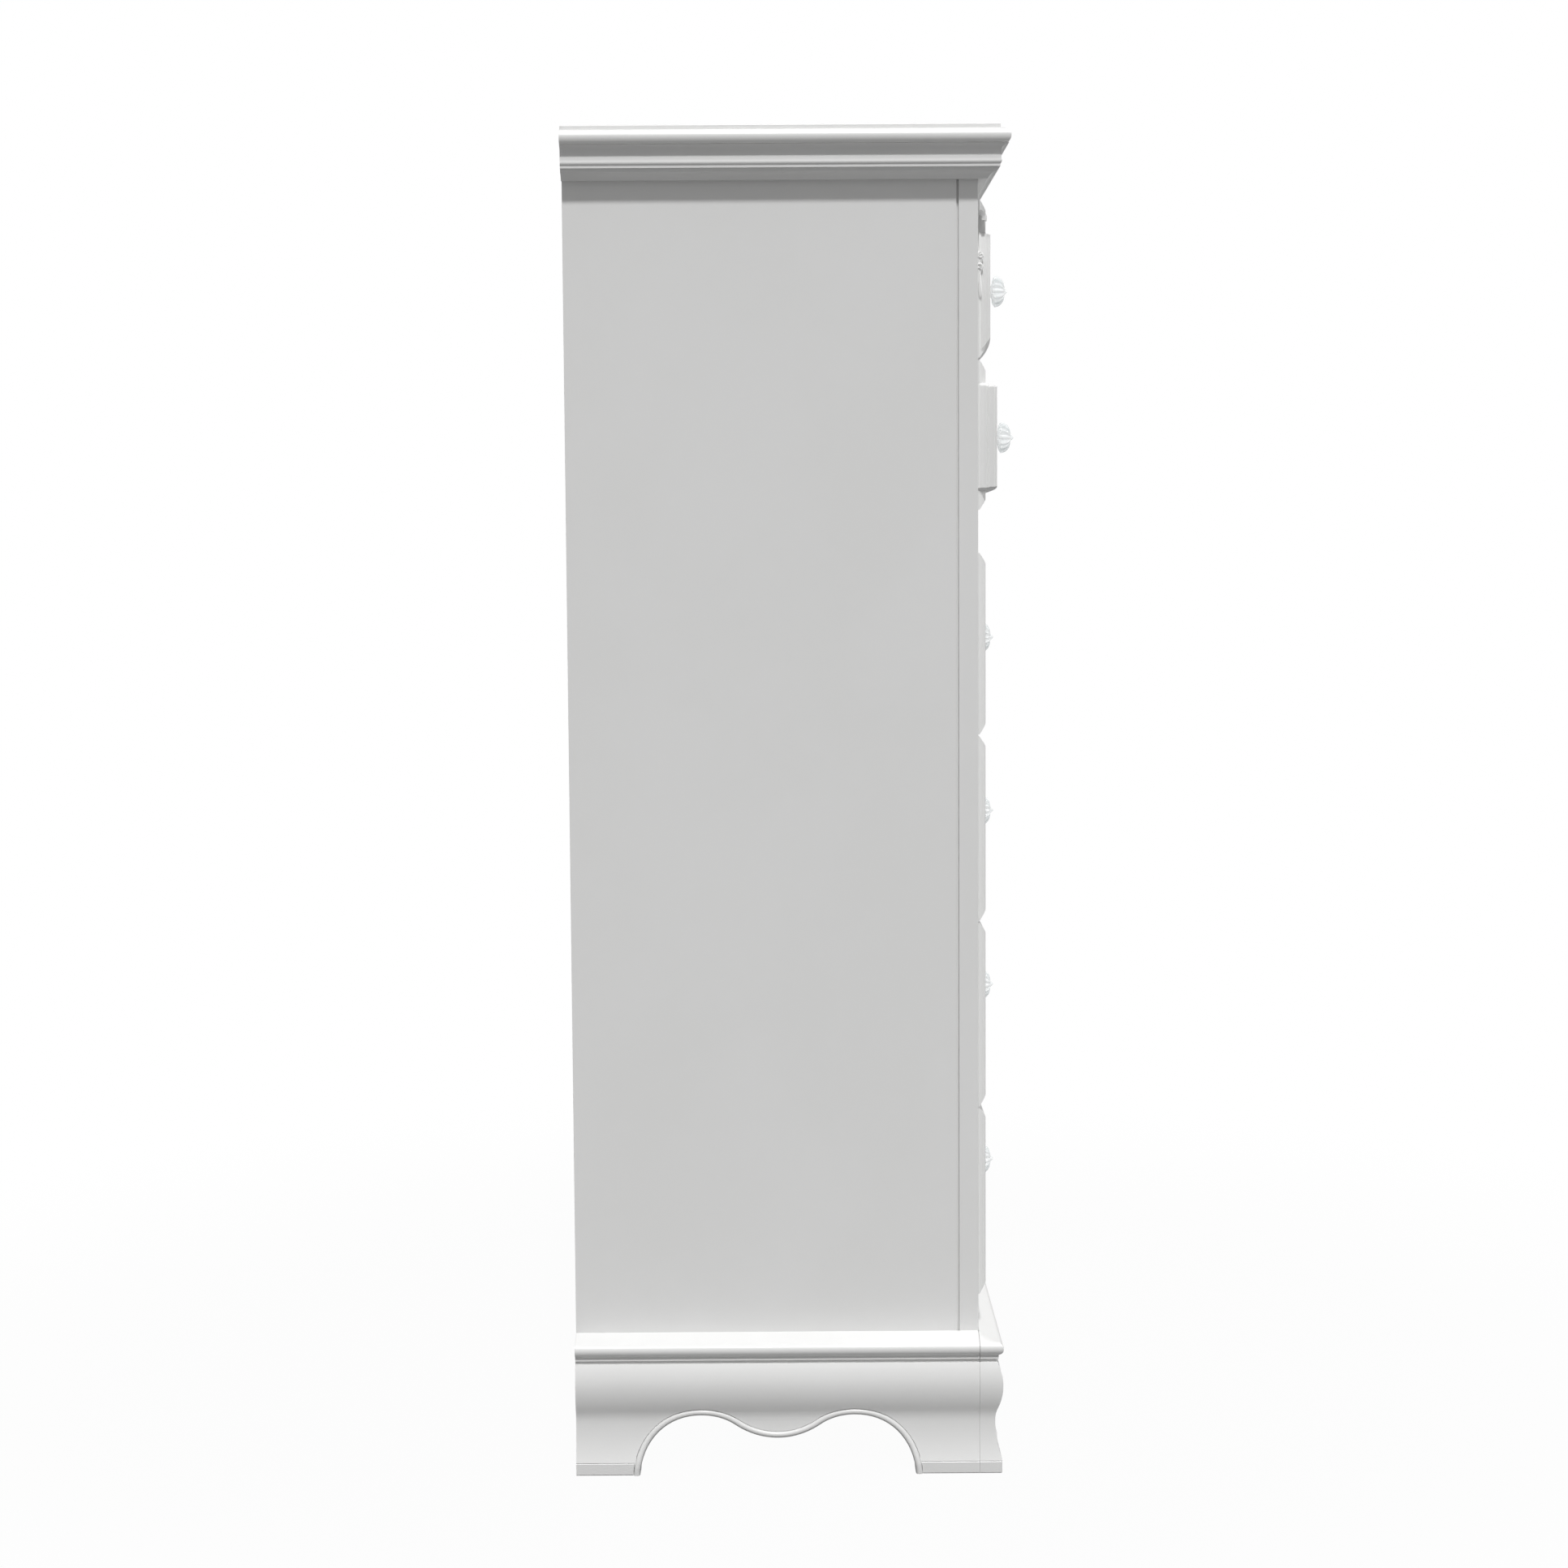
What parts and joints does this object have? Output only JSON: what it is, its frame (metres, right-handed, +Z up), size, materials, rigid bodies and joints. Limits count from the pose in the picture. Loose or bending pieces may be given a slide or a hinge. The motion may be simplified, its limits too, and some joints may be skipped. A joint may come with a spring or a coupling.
{
  "type": "chest of drawers",
  "caption": "Tall chest of drawers on a scalloped ogee plinth, with a moulded cornice, bowed overlays on the top fronts and fluted clear knobs.",
  "frame": {"origin": "on the floor, at the middle of the whole object's width and depth, knobs included", "axes": "+Z up; the drawers open towards -Y; +X to the right when the front is faced"},
  "size_m": [0.9158, 0.4626, 1.35],
  "materials": {
    "white_paint": "satin white lacquer",
    "bare_wood": "sealed softwood",
    "panel_board": "thin plywood",
    "zinc_steel": "zinc plated",
    "bright_metal": "polished",
    "clear_crystal": "clear, fluted"
  },
  "bodies": {
    "cabinet": {"side_panel_left": "white_paint", "side_panel_right": "white_paint", "front_posts": "white_paint", "back_panel": "panel_board", "top_board": "white_paint", "cornice_front": "white_paint", "cornice_sides": "white_paint", "top_rail": "white_paint", "middle_rail": "white_paint", "divider_rails": "white_paint", "bottom_rail": "white_paint", "base_moulding_front": "white_paint", "base_moulding_sides": "white_paint", "front_apron": "white_paint", "side_apron_left": "white_paint", "side_apron_right": "white_paint", "apron_beads": "white_paint", "corner_blocks": "bare_wood", "inner_battens": "bare_wood", "cabinet_runners": "zinc_steel", "back_screws": "zinc_steel"},
    "drawer_1": {"drawer_1_front": "white_paint", "drawer_1_box": "bare_wood", "drawer_1_bottom": "panel_board", "drawer_1_knobs": "clear_crystal", "drawer_1_knob_stems": "bright_metal", "drawer_1_runners": "zinc_steel", "drawer_1_overlay": "white_paint", "drawer_1_carvings": "white_paint"},
    "drawer_2": {"drawer_2_front": "white_paint", "drawer_2_box": "bare_wood", "drawer_2_bottom": "panel_board", "drawer_2_knobs": "clear_crystal", "drawer_2_knob_stems": "bright_metal", "drawer_2_runners": "zinc_steel", "drawer_2_overlay": "white_paint"},
    "drawer_3": {"drawer_3_front": "white_paint", "drawer_3_box": "bare_wood", "drawer_3_bottom": "panel_board", "drawer_3_knobs": "clear_crystal", "drawer_3_knob_stems": "bright_metal", "drawer_3_runners": "zinc_steel"},
    "drawer_4": {"drawer_4_front": "white_paint", "drawer_4_box": "bare_wood", "drawer_4_bottom": "panel_board", "drawer_4_knobs": "clear_crystal", "drawer_4_knob_stems": "bright_metal", "drawer_4_runners": "zinc_steel"},
    "drawer_5": {"drawer_5_front": "white_paint", "drawer_5_box": "bare_wood", "drawer_5_bottom": "panel_board", "drawer_5_knobs": "clear_crystal", "drawer_5_knob_stems": "bright_metal", "drawer_5_runners": "zinc_steel"},
    "drawer_6": {"drawer_6_front": "white_paint", "drawer_6_box": "bare_wood", "drawer_6_bottom": "panel_board", "drawer_6_knobs": "clear_crystal", "drawer_6_knob_stems": "bright_metal", "drawer_6_runners": "zinc_steel"}
  },
  "joints": [
    {"name": "drawer_1_slide", "type": "slide", "parent": "cabinet", "child": "drawer_1", "axis": [0, -1, 0], "range_m": [0, 0.3]},
    {"name": "drawer_2_slide", "type": "slide", "parent": "cabinet", "child": "drawer_2", "axis": [0, -1, 0], "range_m": [0, 0.3]},
    {"name": "drawer_3_slide", "type": "slide", "parent": "cabinet", "child": "drawer_3", "axis": [0, -1, 0], "range_m": [0, 0.3]},
    {"name": "drawer_4_slide", "type": "slide", "parent": "cabinet", "child": "drawer_4", "axis": [0, -1, 0], "range_m": [0, 0.3]},
    {"name": "drawer_5_slide", "type": "slide", "parent": "cabinet", "child": "drawer_5", "axis": [0, -1, 0], "range_m": [0, 0.3]},
    {"name": "drawer_6_slide", "type": "slide", "parent": "cabinet", "child": "drawer_6", "axis": [0, -1, 0], "range_m": [0, 0.3]}
  ]
}
